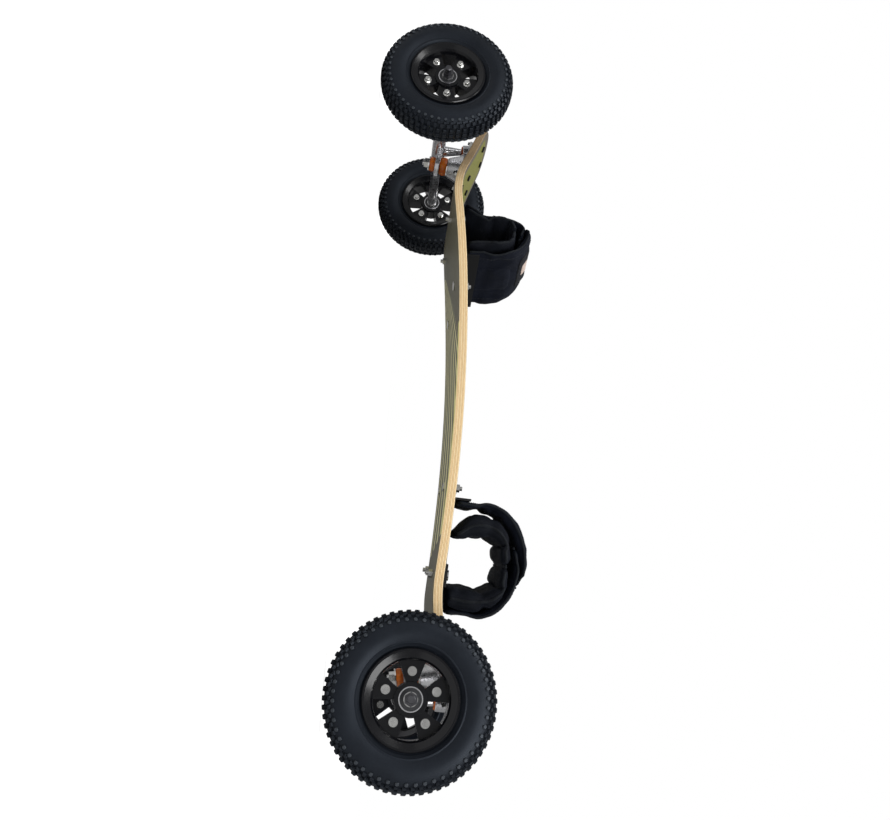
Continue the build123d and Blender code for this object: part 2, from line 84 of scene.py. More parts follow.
def calc(tree, operation, first, second=0.0):
    node = tree.nodes.new("ShaderNodeMath")
    node.operation = operation
    plug(tree, first, node.inputs[0])
    plug(tree, second, node.inputs[1])
    return node.outputs[0]


def object_place(tree):
    return tree.nodes.new("ShaderNodeTexCoord").outputs["Object"]


def split(tree, vector):
    """X, Y and Z of a vector."""
    node = tree.nodes.new("ShaderNodeSeparateXYZ")
    plug(tree, vector, node.inputs[0])
    return node.outputs[0], node.outputs[1], node.outputs[2]


def stretched(tree, vector, scale):
    node = tree.nodes.new("ShaderNodeMapping")
    plug(tree, vector, node.inputs["Vector"])
    node.inputs["Scale"].default_value = scale
    return node.outputs[0]


def grain(tree, vector, scale, detail=4.0, rough=0.55):
    """Noise from 0 to 1."""
    node = tree.nodes.new("ShaderNodeTexNoise")
    plug(tree, vector, node.inputs["Vector"])
    node.inputs["Scale"].default_value = scale
    node.inputs["Detail"].default_value = detail
    node.inputs["Roughness"].default_value = rough
    return node.outputs["Fac"]


def ramp(tree, factor, *stops):
    """Colours by factor; each stop is (place, (r, g, b))."""
    node = tree.nodes.new("ShaderNodeValToRGB")
    plug(tree, factor, node.inputs[0])
    elements = node.color_ramp.elements
    while len(elements) < len(stops):
        elements.new(0.5)
    for element, (place, color) in zip(elements, stops):
        element.position = place
        element.color = (*color, 1)
    return node.outputs["Color"]


def remap(tree, value, low, high, to_low=0.0, to_high=1.0):
    node = tree.nodes.new("ShaderNodeMapRange")
    plug(tree, value, node.inputs[0])
    for place, number in enumerate((low, high, to_low, to_high), start=1):
        node.inputs[place].default_value = number
    return node.outputs[0]


def blend_colors(tree, factor, first, second):
    node = tree.nodes.new("ShaderNodeMix")
    node.data_type = "RGBA"
    plug(tree, factor, node.inputs["Factor"])
    for value, socket in ((first, node.inputs[6]), (second, node.inputs[7])):
        plug(tree, (*value, 1) if isinstance(value, tuple) else value, socket)
    return node.outputs[2]


def distance_from_axis(tree, first, second):
    """The length of the vector that two parts make."""
    squares = calc(tree, "ADD", calc(tree, "MULTIPLY", first, first), calc(tree, "MULTIPLY", second, second))
    return calc(tree, "SQRT", squares)


def between(tree, value, low, high):
    """1 where a value lies between low and high, and 0 elsewhere."""
    return calc(tree, "MULTIPLY", calc(tree, "GREATER_THAN", value, low), calc(tree, "LESS_THAN", value, high))


def mesh_value(tree, name):
    """A number stored on the mesh's points."""
    node = tree.nodes.new("ShaderNodeAttribute")
    node.attribute_name = name
    return node.outputs["Fac"]


def bump(tree, shader, *layers):
    """Stacks bumps; each layer is (height, distance in metres)."""
    normal = None
    for height, distance in layers:
        node = tree.nodes.new("ShaderNodeBump")
        node.inputs["Strength"].default_value = 1.0
        node.inputs["Distance"].default_value = distance
        plug(tree, height, node.inputs["Height"])
        if normal is not None:
            tree.links.new(normal, node.inputs["Normal"])
        normal = node.outputs[0]
    tree.links.new(normal, shader.inputs["Normal"])


# ---------------------------------------------------------------- materials
def metal(name, color, low, high, scale, relief):
    """Metal whose gloss and surface vary with a grain of that scale."""
    material, tree, shader = new_material(name, color, 0.3, 1.0)
    place = object_place(tree)
    fine = grain(tree, place, scale)
    coarse = grain(tree, place, scale / 14, 3.0)
    tint = tuple(channel * 0.72 for channel in color)
    worn = remap(tree, coarse, 0.3, 0.75)
    tree.links.new(blend_colors(tree, worn, color, tint), shader.inputs["Base Color"])
    tree.links.new(remap(tree, fine, 0.25, 0.8, low, high), shader.inputs["Roughness"])
    bump(tree, shader, (coarse, relief * 4), (fine, relief))
    return material


def coated(name, color, roughness, scale, relief, dust=0.0, coat=0.0):
    """Paint, plastic or rubber with a fine surface and a little dust in patches."""
    material, tree, shader = new_material(name, color, roughness)
    place = object_place(tree)
    fine = grain(tree, place, scale, 3.0)
    patches = grain(tree, place, 24.0, 6.0, 0.65)
    dusty = tuple(channel + 0.05 for channel in color)
    share = remap(tree, patches, 0.45, 0.85, 0.0, dust)
    tree.links.new(blend_colors(tree, share, color, dusty), shader.inputs["Base Color"])
    gloss = remap(tree, patches, 0.2, 0.8, roughness * 0.85, roughness * 1.2)
    tree.links.new(gloss, shader.inputs["Roughness"])
    shader.inputs["Coat Weight"].default_value = coat
    shader.inputs["Coat Roughness"].default_value = 0.08
    shader.inputs["Specular IOR Level"].default_value = 0.32
    bump(tree, shader, (fine, relief))
    return material


def urethane():
    material, tree, shader = new_material("orange_urethane", (0.72, 0.17, 0.012), 0.32)
    place = object_place(tree)
    clouds = grain(tree, place, 60.0)
    tree.links.new(
        ramp(tree, clouds, (0.3, (0.55, 0.10, 0.008)), (0.7, (0.86, 0.24, 0.02))), shader.inputs["Base Color"]
    )
    shader.inputs["Subsurface Weight"].default_value = 0.35
    shader.inputs["Subsurface Radius"].default_value = (0.006, 0.002, 0.001)
    bump(tree, shader, (grain(tree, place, 900.0, 2.0), 0.00006))
    return material


def bearing_metal(wheel_x, wheel_z):
    """Bright rings with a dark shield between them, by distance from the wheel's axis."""
    material, tree, shader = new_material("bearing", (0.6, 0.6, 0.6), 0.25, 1.0)
    x, _, z = split(tree, object_place(tree))
    along = calc(tree, "SUBTRACT", calc(tree, "ABSOLUTE", x), wheel_x)
    up = calc(tree, "SUBTRACT", z, wheel_z)
    radius = distance_from_axis(tree, along, up)
    shield = between(tree, radius, SHIELD_INNER_R, SHIELD_OUTER_R)
    tree.links.new(
        blend_colors(tree, shield, (0.68, 0.68, 0.70), (0.02, 0.021, 0.024)), shader.inputs["Base Color"]
    )
    tree.links.new(remap(tree, shield, 0, 1, 1.0, 0.0), shader.inputs["Metallic"])
    tree.links.new(remap(tree, shield, 0, 1, 0.22, 0.5), shader.inputs["Roughness"])
    ring = calc(tree, "SINE", calc(tree, "MULTIPLY", radius, 9000.0))
    bump(tree, shader, (ring, 0.00001))
    return material


PLIES = 7
PLY_EDGE = 0.40                # share of half a ply, beyond which its glue line starts
TIP_SHADE_FROM, TIP_SHADE_TO = 0.335, 0.395   # where painted shade darkens the edge towards the bent-up tips, from the middle of the board
STRIPE_APEX = (0.25, -0.09)    # where the stripes meet, as (x, y)
STRIPE_FAN = 0.95              # steepest stripe, in metres across for each metre along
STRIPES = 8.5                  # for each unit of that slope
STRIPED = (-0.235, 0.245)      # part of the board that has stripes
BANDED = (-0.235, 0.07)        # and that has a yellow band by its left edge
BAND_WIDTH = 0.009


def deck_material():
    """Ply edge, a stained underside with thin fanned stripes, and a stained top. In metres."""
    material, tree, shader = new_material("laminated_deck", (0.8, 0.6, 0.35), 0.35)
    place = object_place(tree)
    x, y, _ = split(tree, place)
    lift = mesh_value(tree, "lift")
    facing = tree.nodes.new("ShaderNodeNewGeometry").outputs["True Normal"]
    local = tree.nodes.new("ShaderNodeVectorTransform")
    local.vector_type = "NORMAL"
    local.convert_from = "WORLD"
    local.convert_to = "OBJECT"
    tree.links.new(facing, local.inputs[0])
    _, _, up = split(tree, local.outputs[0])
    fibres = grain(tree, stretched(tree, place, (5, 60, 60)), 9.0, 6.0, 0.6)
    specks = grain(tree, stretched(tree, place, (30, 30, 260)), 6.0, 3.0, 0.6)

    # The edge: seven plies between thin dark glue lines, with painted shade making it browner towards both
    # tips, where the deck bends up.
    wander = calc(tree, "MULTIPLY", calc(tree, "SUBTRACT", specks, 0.5), 0.035)
    ply = calc(tree, "FRACT", calc(tree, "MULTIPLY", calc(tree, "ADD", lift, wander), PLIES))
    in_ply = calc(tree, "LESS_THAN", calc(tree, "ABSOLUTE", calc(tree, "SUBTRACT", ply, 0.5)), PLY_EDGE)
    turned = calc(tree, "GREATER_THAN", calc(tree, "FRACT", calc(tree, "MULTIPLY", lift, PLIES / 2)), 0.5)
    light_ply = blend_colors(tree, remap(tree, fibres, 0.3, 0.7), (0.88, 0.66, 0.36), (0.95, 0.77, 0.48))
    dark_ply = blend_colors(tree, remap(tree, specks, 0.3, 0.75), (0.78, 0.52, 0.26), (0.90, 0.68, 0.38))
    edge = blend_colors(tree, turned, light_ply, dark_ply)
    edge = blend_colors(tree, in_ply, (0.36, 0.22, 0.10), edge)
    out = calc(tree, "ABSOLUTE", x)
    uneven_out = calc(tree, "ADD", out, calc(tree, "MULTIPLY", fibres, 0.03))
    # Painted shade: beyond the bends the edge is darkened to brown, where the tips turn away from the light.
    painted_tip_shade = remap(tree, uneven_out, TIP_SHADE_FROM, TIP_SHADE_TO, 0.0, 0.85)
    edge = blend_colors(tree, painted_tip_shade, edge, (0.25, 0.17, 0.095))

    # The underside: grey-olive stain, with thin pale stripes that fan out from one end.
    stain = blend_colors(tree, remap(tree, fibres, 0.3, 0.75), (0.130, 0.120, 0.076), (0.200, 0.186, 0.122))
    from_apex = calc(tree, "MAXIMUM", calc(tree, "SUBTRACT", STRIPE_APEX[0], x), 0.01)
    slant = calc(tree, "DIVIDE", calc(tree, "SUBTRACT", y, STRIPE_APEX[1]), from_apex)
    thin = calc(tree, "LESS_THAN", calc(tree, "FRACT", calc(tree, "MULTIPLY", slant, STRIPES)), 0.42)
    middle = between(tree, x, *STRIPED)
    fan = calc(tree, "LESS_THAN", slant, STRIPE_FAN)
    stripes = calc(tree, "MULTIPLY", calc(tree, "MULTIPLY", thin, middle), fan)
    stripes = calc(tree, "MULTIPLY", stripes, remap(tree, fibres, 0.2, 0.5, 0.75, 1.0))
    under = blend_colors(tree, stripes, stain, (1.0, 0.94, 0.50))
    reach = mesh_value(tree, "margin")
    by_edge = calc(tree, "LESS_THAN", reach, BAND_WIDTH)
    beside = calc(tree, "MULTIPLY", by_edge, calc(tree, "GREATER_THAN", y, 0.0))
    band = calc(tree, "MULTIPLY", beside, between(tree, x, *BANDED))
    under = blend_colors(tree, band, under, (0.95, 0.88, 0.30))

    # The top: olive stain with a darker, greyer margin.
    top = blend_colors(tree, remap(tree, fibres, 0.3, 0.75), (0.150, 0.150, 0.028), (0.255, 0.250, 0.060))
    uneven_reach = calc(tree, "ADD", reach, calc(tree, "MULTIPLY", fibres, 0.004))
    margin = remap(tree, uneven_reach, 0.012, 0.018)
    top = blend_colors(tree, margin, (0.13, 0.11, 0.085), top)

    is_top = calc(tree, "GREATER_THAN", up, 0.6)
    is_under = calc(tree, "LESS_THAN", up, -0.6)
    color = blend_colors(tree, is_top, edge, top)
    color = blend_colors(tree, is_under, color, under)
    tree.links.new(color, shader.inputs["Base Color"])
    tree.links.new(remap(tree, fibres, 0.2, 0.8, 0.42, 0.60), shader.inputs["Roughness"])
    shader.inputs["Coat Weight"].default_value = 0.06
    shader.inputs["Coat Roughness"].default_value = 0.3
    shader.inputs["Specular IOR Level"].default_value = 0.25
    bump(tree, shader, (fibres, 0.00035), (in_ply, 0.00006))
    return material


def cloth_material(name, dark, light, pitch, relief, sheen):
    """Woven or knitted fabric. Its weave follows the piece's UV map, which is in metres."""
    material, tree, shader = new_material(name, dark, 0.9)
    weave_place = tree.nodes.new("ShaderNodeUVMap")
    weave_place.uv_map = "weave"
    u, v, _ = split(tree, weave_place.outputs[0])
    turn = 2 * math.pi / pitch
    across = calc(tree, "SINE", calc(tree, "MULTIPLY", u, turn))
    along = calc(tree, "SINE", calc(tree, "MULTIPLY", v, turn))
    threads = calc(tree, "MULTIPLY", across, along)
    place = object_place(tree)
    patches = grain(tree, place, 30.0, 5.0, 0.6)
    fuzz = grain(tree, place, 1600.0, 2.0)
    worn = remap(tree, patches, 0.35, 0.8)
    base = blend_colors(tree, worn, dark, light)
    thread_light = remap(tree, threads, -1, 1, 0.0, 0.5)
    shade = calc(tree, "MULTIPLY", thread_light, remap(tree, fuzz, 0.3, 0.7, 0.4, 1.0))
    brighter = tuple(min(1.0, channel * 1.8 + 0.0008) for channel in light)
    tree.links.new(blend_colors(tree, shade, base, brighter), shader.inputs["Base Color"])
    tree.links.new(remap(tree, patches, 0.2, 0.8, 0.62, 0.88), shader.inputs["Roughness"])
    shader.inputs["Sheen Weight"].default_value = sheen
    shader.inputs["Sheen Roughness"].default_value = 0.45
    shader.inputs["Sheen Tint"].default_value = (0.55, 0.62, 0.85, 1)
    shader.inputs["Specular IOR Level"].default_value = 0.14
    bump(tree, shader, (patches, 0.0012), (threads, relief), (fuzz, relief * 0.7))
    return material


def tyre_material():
    """Black rubber with a blue cast, dusty on the tread and paler on the tops of the shoulder knobs."""
    material, tree, shader = new_material("tyre_rubber", (0.02, 0.023, 0.031), 0.55)
    place = object_place(tree)
    patches = grain(tree, place, 22.0, 6.0, 0.62)
    fine = grain(tree, place, 1300.0, 3.0)
    x, y, z = split(tree, place)
    radius = distance_from_axis(tree, x, z)
    base = ramp(tree, patches, (0.3, (0.0035, 0.0046, 0.0072)), (0.72, (0.0085, 0.0108, 0.0155)))
    outer = remap(tree, radius, 0.084, 0.098, 0.0, 1.0)
    dusty = calc(tree, "MULTIPLY", calc(tree, "MULTIPLY", outer, remap(tree, patches, 0.4, 0.75)), 0.35)
    color = blend_colors(tree, dusty, base, (0.024, 0.023, 0.021))
    on_shoulder = calc(tree, "GREATER_THAN", radius, 0.0855)
    past_casing = calc(tree, "GREATER_THAN", calc(tree, "ABSOLUTE", y), 0.0226)
    knob_top = calc(tree, "MULTIPLY", on_shoulder, past_casing)
    tree.links.new(blend_colors(tree, knob_top, color, (0.040, 0.045, 0.052)), shader.inputs["Base Color"])
    tree.links.new(remap(tree, patches, 0.25, 0.75, 0.42, 0.60), shader.inputs["Roughness"])
    shader.inputs["Specular IOR Level"].default_value = 0.30
    shader.inputs["Specular Tint"].default_value = (0.75, 0.85, 1.0, 1)
    rings = calc(tree, "SINE", calc(tree, "MULTIPLY", radius, 3600.0))
    low_wall = remap(tree, radius, 0.074, 0.060, 0.0, 1.0)
    bump(tree, shader, (calc(tree, "MULTIPLY", rings, low_wall), 0.00003), (patches, 0.0003), (fine, 0.00005))
    return material


SHIELD_INNER_R = 8.3 * MM      # of a bearing's dark shield
SHIELD_OUTER_R = 12.7 * MM
AXLE_LOW, AXLE_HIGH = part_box("front_axle")
AXLE = (AXLE_LOW + AXLE_HIGH) / 2
_, DECK_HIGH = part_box("deck")

RUBBER = tyre_material()
AXLE_STEEL = metal("dark_axle_steel", (0.13, 0.13, 0.14), 0.28, 0.45, 900.0, 0.00002)
HUB = coated("hub_plastic", (0.0035, 0.0038, 0.0052), 0.22, 700.0, 0.00002, 0.04, 0.10)
BEARING = bearing_metal(AXLE.x, AXLE.z)
CAST = metal("cast_aluminium", (0.74, 0.74, 0.76), 0.20, 0.42, 420.0, 0.00006)
STEEL = metal("turned_steel", (0.66, 0.66, 0.67), 0.16, 0.34, 900.0, 0.00002)
ZINC = metal("zinc_plate", (0.90, 0.90, 0.88), 0.12, 0.24, 700.0, 0.000006)
BLACK_STEEL = coated("black_steel", (0.004, 0.004, 0.005), 0.42, 900.0, 0.00006, 0.05)
TUBE = coated("tube_rubber", (0.02, 0.02, 0.022), 0.6, 800.0, 0.00005, 0.3)
PAD = coated("grip_pad", (0.022, 0.022, 0.024), 0.85, 420.0, 0.0006, 0.3)
URETHANE = urethane()
NYLON = cloth_material(
    "strap_nylon", (0.0016, 0.0026, 0.0062), (0.0034, 0.0052, 0.0120), 1.3 * MM, 0.00014, 0.03
)
KNIT = cloth_material(
    "liner_knit", (0.0018, 0.0024, 0.0044), (0.0040, 0.0054, 0.0095), 0.9 * MM, 0.00010, 0.04
)
TAPE = cloth_material("edge_tape", (0.0055, 0.0066, 0.0085), (0.011, 0.013, 0.016), 0.7 * MM, 0.00008, 0.05)
HOOKS = cloth_material("hook_and_loop", (0.010, 0.010, 0.011), (0.022, 0.022, 0.022), 1.0 * MM, 0.00030, 0.05)
THREAD = coated("thread", (0.020, 0.022, 0.028), 0.6, 2000.0, 0.00005)
LABEL = cloth_material("blank_label", (0.42, 0.30, 0.25), (0.60, 0.50, 0.45), 0.6 * MM, 0.00005, 0.0)


def paint(name, material):
    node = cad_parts[name]
    node.data.materials.clear()
    node.data.materials.append(material)
    node.data.set_sharp_from_angle(angle=math.radians(32))


CAD_LOOKS = {
    "kingpins": STEEL,
    "kingpin_nuts": ZINC,
    "cup_washers": ZINC,
    "pivot_cups": URETHANE,
    "truck_bolts": BLACK_STEEL,
    "truck_nuts": ZINC,
    "binding_bolts": ZINC,
    "binding_nuts": ZINC,
    "inner_brackets": BLACK_STEEL,
    "outer_brackets": BLACK_STEEL,
}
for end in ENDS:
    CAD_LOOKS[f"{end}_footpad"] = PAD
    CAD_LOOKS[f"{end}_axle"] = AXLE_STEEL
    CAD_LOOKS[f"{end}_axle_nuts"] = AXLE_STEEL
    CAD_LOOKS[f"{end}_axle_washers"] = ZINC
for end, side in WHEELS:
    CAD_LOOKS[f"{end}_{side}_hub_outer"] = HUB
    CAD_LOOKS[f"{end}_{side}_hub_inner"] = HUB
    CAD_LOOKS[f"{end}_{side}_hub_bolts"] = ZINC
    CAD_LOOKS[f"{end}_{side}_bearings"] = BEARING
    CAD_LOOKS[f"{end}_{side}_inner_tube"] = TUBE
for name, material in CAD_LOOKS.items():
    paint(name, material)


# ---------------------------------------------------------------- mesh helpers
def new_piece(name, mesh, material):
    piece = bpy.data.objects.new(name, mesh)
    bpy.context.scene.collection.objects.link(piece)
    if material is not None:
        mesh.materials.clear()
        mesh.materials.append(material)
    return piece


def smooth_faces(mesh):
    mesh.polygons.foreach_set("use_smooth", [True] * len(mesh.polygons))


def mesh_from(name, verts, faces):
    mesh = bpy.data.meshes.new(name)
    mesh.from_pydata([tuple(v) for v in verts], [], faces)
    mesh.validate()
    mesh.update()
    smooth_faces(mesh)
    return mesh


def skin(rings, count, joined=False):
    """Faces between rings of count points each; joined also runs from the last ring to the first."""
    faces = []
    for i in range(rings if joined else rings - 1):
        base, ahead = i * count, (i + 1) % rings * count
        for k in range(count):
            j = (k + 1) % count
            faces.append((base + k, base + j, ahead + j, ahead + k))
    return faces


def outward_faces(mesh):
    work = bmesh.new()
    work.from_mesh(mesh)
    bmesh.ops.recalc_face_normals(work, faces=work.faces)
    work.to_mesh(mesh)
    work.free()


def only_selected(piece):
    bpy.ops.object.select_all(action="DESELECT")
    piece.select_set(True)
    bpy.context.view_layer.objects.active = piece


def apply_modifier(piece, kind, **settings):
    modifier = piece.modifiers.new(kind.title(), kind)
    for key, value in settings.items():
        setattr(modifier, key, value)
    only_selected(piece)
    bpy.ops.object.modifier_apply(modifier=modifier.name)


def copy_of(node, name, material):
    """A new piece with a CAD node's shape, its doubled vertices joined."""
    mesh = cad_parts[node].data.copy()
    mesh.name = name
    work = bmesh.new()
    work.from_mesh(mesh)
    bmesh.ops.remove_doubles(work, verts=work.verts, dist=2e-6)
    work.to_mesh(mesh)
    work.free()
    return new_piece(name, mesh, material)


# ---------------------------------------------------------------- deck
class DeckShape:
    """Heights and half widths of the CAD deck, found by rays."""

    def __init__(self):
        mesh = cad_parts["deck"].data
        verts = [v.co for v in mesh.vertices]
        self.tree = BVHTree.FromPolygons(verts, [tuple(p.vertices) for p in mesh.polygons])
        self.length = DECK_HIGH.x

    def under(self, x):
        return self.tree.ray_cast(Vector((x, 0.0, 0.0)), Vector((0, 0, 1)))[0].z

    def top(self, x):
        return self.tree.ray_cast(Vector((x, 0.0, 1.0)), Vector((0, 0, -1)))[0].z

    def half_width(self, x, height):
        return self.tree.ray_cast(Vector((x, 1.0, height)), Vector((0, -1, 0)))[0].y


DECK_STATIONS = 260            # sections along the deck
DECK_COLUMNS = 28              # faces across it
DECK_EDGE_ROUND = 1.3 * MM


def deck_section(half, low, high, round_r):
    """Points round the deck's section at one place along it: (across, height)."""
    flat = half - round_r
    arc = [math.radians(a) for a in (22.5, 45, 67.5, 90)]
    top = [(-flat + 2 * flat * k / DECK_COLUMNS, high) for k in range(DECK_COLUMNS + 1)]
    corner = [(flat + round_r * math.sin(a), high - round_r + round_r * math.cos(a)) for a in arc]
    wall = [(half, high + (low - high) * k / 4) for k in (1, 2, 3)]
    turns = [0.0] + arc[:-1]
    foot = [(flat + round_r * math.cos(a), low + round_r - round_r * math.sin(a)) for a in turns]
    right = corner + wall + foot
    bottom = [(y, low) for y, _ in reversed(top)]
    left = [(-y, z) for y, z in reversed(right)]
    return top + right + bottom + left


def make_deck():
    shape = DeckShape()
    verts = []
    lifts = []
    outline = []
    for i in range(DECK_STATIONS + 1):
        share = -1 + 2 * i / DECK_STATIONS
        x = shape.length * 0.99995 * math.sin(math.pi / 2 * share)
        low, high = shape.under(x), shape.top(x)
        half = shape.half_width(x, (low + high) / 2)
        outline += [Vector((x, half, 0)), Vector((x, -half, 0))]
        for y, z in deck_section(half, low, high, min(DECK_EDGE_ROUND, half * 0.5)):
            verts.append((x, y, z))
            lifts.append((z - low) / (high - low))
    count = len(verts) // (DECK_STATIONS + 1)
    faces = skin(DECK_STATIONS + 1, count)
    faces.append(tuple(range(count)))
    faces.append(tuple(reversed(range(DECK_STATIONS * count, (DECK_STATIONS + 1) * count))))
    mesh = mesh_from("finished_deck", verts, faces)
    rim = KDTree(len(outline))
    for number, point in enumerate(outline):
        rim.insert(point, number)
    rim.balance()
    mesh.attributes.new("lift", "FLOAT", "POINT").data.foreach_set("value", lifts)
    margins = [rim.find(Vector((x, y, 0)))[2] for x, y, _ in verts]
    mesh.attributes.new("margin", "FLOAT", "POINT").data.foreach_set("value", margins)
    outward_faces(mesh)
    mesh.set_sharp_from_angle(angle=math.radians(60))
    deck = new_piece("finished_deck", mesh, deck_material())
    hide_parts("deck")
    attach(deck, "board")


# ---------------------------------------------------------------- cast and moulded truck parts
def make_cast(node, body, voxel):
    """A cast part: the CAD shape with the soft corners of a casting."""
    piece = copy_of(node, f"cast_{node}", CAST)
    apply_modifier(piece, "REMESH", mode="VOXEL", voxel_size=voxel, adaptivity=0.0)
    apply_modifier(piece, "SMOOTH", factor=0.5, iterations=4)
    smooth_faces(piece.data)
    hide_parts(node)
    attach(piece, body)


def make_bushing(end, kind):
    """A urethane bushing: the CAD shape, remeshed and smoothed like a moulding."""
    node = f"{end}_{kind}_bushing"
    piece = copy_of(node, f"moulded_{node}", URETHANE)
    apply_modifier(piece, "REMESH", mode="VOXEL", voxel_size=0.7 * MM, adaptivity=0.0)
    apply_modifier(piece, "SMOOTH", factor=0.5, iterations=3)
    smooth_faces(piece.data)
    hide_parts(node)
    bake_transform(piece)


# ---------------------------------------------------------------- tyres
TYRE_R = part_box("front_left_tyre")[1].z - AXLE.z
TREAD_DEPTH = 3.6 * MM
CROWN_R = TYRE_R - TREAD_DEPTH
CASING_STEPS = 168

# One side of the casing's outside, from bead to crown, and of its inside back again: (radius, height)
# in mm, the height along the axle from the tyre's middle.
CASING_OUTSIDE = [
    (48.3, 17.2), (55.9, 17.3), (57.0, 18.0), (59.0, 19.6), (60.6, 20.6), (61.2, 21.6), (62.4, 21.8),
    (63.2, 21.4), (66.0, 22.9), (70.0, 24.2), (74.0, 24.7), (78.0, 24.5), (82.0, 23.6), (85.5, 22.4),
    (88.5, 20.6), (91.4, 17.8), (93.6, 14.0), (95.2, 9.5), (96.1, 5.0),
]
CASING_INSIDE = [
    (93.0, 5.0), (90.5, 11.0), (86.5, 16.5), (81.0, 19.8), (74.0, 20.6), (65.0, 18.0), (57.0, 13.5),
    (48.3, 9.6),
]
BLOCKS = 62                    # tread blocks in a row round the tyre
KNOBS = 54                     # round knobs on a shoulder
# Rows of tread blocks on each side of the middle one, in mm and radians:
# (turned on by half a block, radius, height, tilt, (length, width), rise, twist)
SIDE_ROWS = [
    (False, 95.6, 8.2, 0.22, (5.0, 6.6), 3.6, 0.2),
    (True, 92.9, 15.2, 0.58, (5.2, 5.6), 3.4, 0.0),
    (False, 90.4, 18.8, 0.80, (4.6, 3.6), 2.6, 0.0),
]


class Solid:
    """Vertices and faces of a mesh that is put together from several closed pieces."""

    def __init__(self):
        self.verts = []
        self.faces = []
        self.flat = []

    def add(self, verts, faces, flat=False):
        start = len(self.verts)
        self.verts += verts
        self.faces += [tuple(start + i for i in face) for face in faces]
        self.flat += [flat] * len(faces)

    def mesh(self, name):
        mesh = mesh_from(name, self.verts, self.faces)
        mesh.polygons.foreach_set("use_smooth", [not flat for flat in self.flat])
        return mesh


def tyre_point(angle, radius, height):
    return Vector((radius * math.cos(angle), height, radius * math.sin(angle)))


def add_casing(solid):
    outside = [(r * MM, h * MM) for r, h in CASING_OUTSIDE]
    inside = [(r * MM, h * MM) for r, h in CASING_INSIDE]
    loop = outside + [(CROWN_R, 0.0)] + [(r, -h) for r, h in reversed(outside)]
    loop += [(r, -h) for r, h in reversed(inside)] + [(inside[0][0] + 0.6 * MM, 0.0)] + inside
    verts = []
    for step in range(CASING_STEPS):
        angle = 2 * math.pi * step / CASING_STEPS
        verts += [tyre_point(angle, r, h) for r, h in loop]
    solid.add(verts, skin(CASING_STEPS, len(loop), joined=True))


def add_block(solid, angle, radius, height, tilt, size, rise, twist=0.0, corners=4):
    """A tread block on the casing, in mm: a tapered prism with a bevelled top, leaning outwards by tilt."""
    radial = tyre_point(angle, 1.0, 0.0)
    round_way = Vector((-math.sin(angle), 0, math.cos(angle)))
    up = radial * math.cos(tilt) + Vector((0, math.sin(tilt), 0))
    sideways = Vector((0, math.cos(tilt), 0)) - radial * math.sin(tilt)
    foot = tyre_point(angle, radius * MM, height * MM)
    length, width = size[0] * MM, size[1] * MM
    verts = []
    for level, share in ((-1.4, 1.12), (rise - 0.5, 0.94), (rise, 0.76)):
        for corner in range(corners):
            turn = 2 * math.pi * (corner + 0.5) / corners
            if corners == 4:
                a = math.copysign(length / 2, math.cos(turn)) * share
                b = math.copysign(width / 2, math.sin(turn)) * share
            else:
                a = length / 2 * math.cos(turn) * share
                b = width / 2 * math.sin(turn) * share
            along = a * math.cos(twist) - b * math.sin(twist)
            across = a * math.sin(twist) + b * math.cos(twist)
            verts.append(foot + round_way * along + sideways * across + up * level * MM)
    faces = [tuple(range(corners)), tuple(2 * corners + c for c in reversed(range(corners)))]
    for level in (0, 1):
        for corner in range(corners):
            following = (corner + 1) % corners
            base = level * corners
            over = base + corners
            faces.append((base + corner, over + corner, over + following, base + following))
    solid.add(verts, faces, flat=corners == 4)


def tyre_mesh():
    solid = Solid()
    add_casing(solid)
    pitch = 2 * math.pi / BLOCKS
    for k in range(BLOCKS):
        angle = k * pitch
        add_block(solid, angle, CROWN_R / MM, 0.0, 0.0, (5.4, 7.4), TREAD_DEPTH / MM)
        for way in (1, -1):
            for half_on, radius, height, tilt, size, rise, twist in SIDE_ROWS:
                place = angle + pitch / 2 if half_on else angle
                add_block(solid, place, radius, way * height, way * tilt, size, rise, way * twist)
    for k in range(KNOBS):
        for way in (1, -1):
            angle = 2 * math.pi * k / KNOBS
            add_block(solid, angle, 86.9, way * 21.7, way * 1.1, (4.8, 4.8), 1.9, corners=12)
    mesh = solid.mesh("tyre")
    outward_faces(mesh)
    mesh.set_sharp_from_angle(angle=math.radians(38))
    return mesh


def make_tyres():
    mesh = tyre_mesh()
    for number, (end, side) in enumerate(WHEELS):
        low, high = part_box(f"{end}_{side}_tyre")
        turned = mesh.copy()
        turned.transform(Matrix.Rotation(0.7 * number, 4, "Y"))
        tyre = new_piece(f"{end}_{side}_tread_tyre", turned, RUBBER)
        tyre.location = (low + high) / 2
        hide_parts(f"{end}_{side}_tyre")
        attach(tyre, f"{end}_{side}_wheel")


# ---------------------------------------------------------------- foot straps
MIDDLE = {"front": 247.0 * MM, "rear": 249.0 * MM}      # of a strap, from the middle of the board
HALF_WIDTH = {"front": 59.0 * MM, "rear": 81.0 * MM}    # outside of a strap's arch
STRAP_HEIGHT = 143.2 * MM      # of the strap plane above the ground
FALL = math.radians(3.1)       # the strap plane falls outwards
DUCK = math.radians(11.0)      # and is turned out
LEG = 44.0 * MM                # height of the straight legs of the arch
RISE = 64.0 * MM               # of the arch above its legs
GRID = 5 * MM                  # between the rings of a band, and so between the points of its weave
SECTION_POINTS = 58            # round a band's section
HALF_LENGTH = {"front": 62.0 * MM, "rear": 67.5 * MM}   # of the band, along the foot
OUTWARDS = Vector((math.cos(FALL), 0, -math.sin(FALL)))
ACROSS = OUTWARDS * math.cos(DUCK) - Vector((0, 1, 0)) * math.sin(DUCK)
UP = Vector((math.sin(FALL), 0, math.cos(FALL)))
ALONG = UP.cross(ACROSS)


def ease(value, low, high):
    """0 below low, 1 above high, and smooth between."""
    share = max(0.0, min(1.0, (value - low) / (high - low)))
    return share * share * (3 - 2 * share)


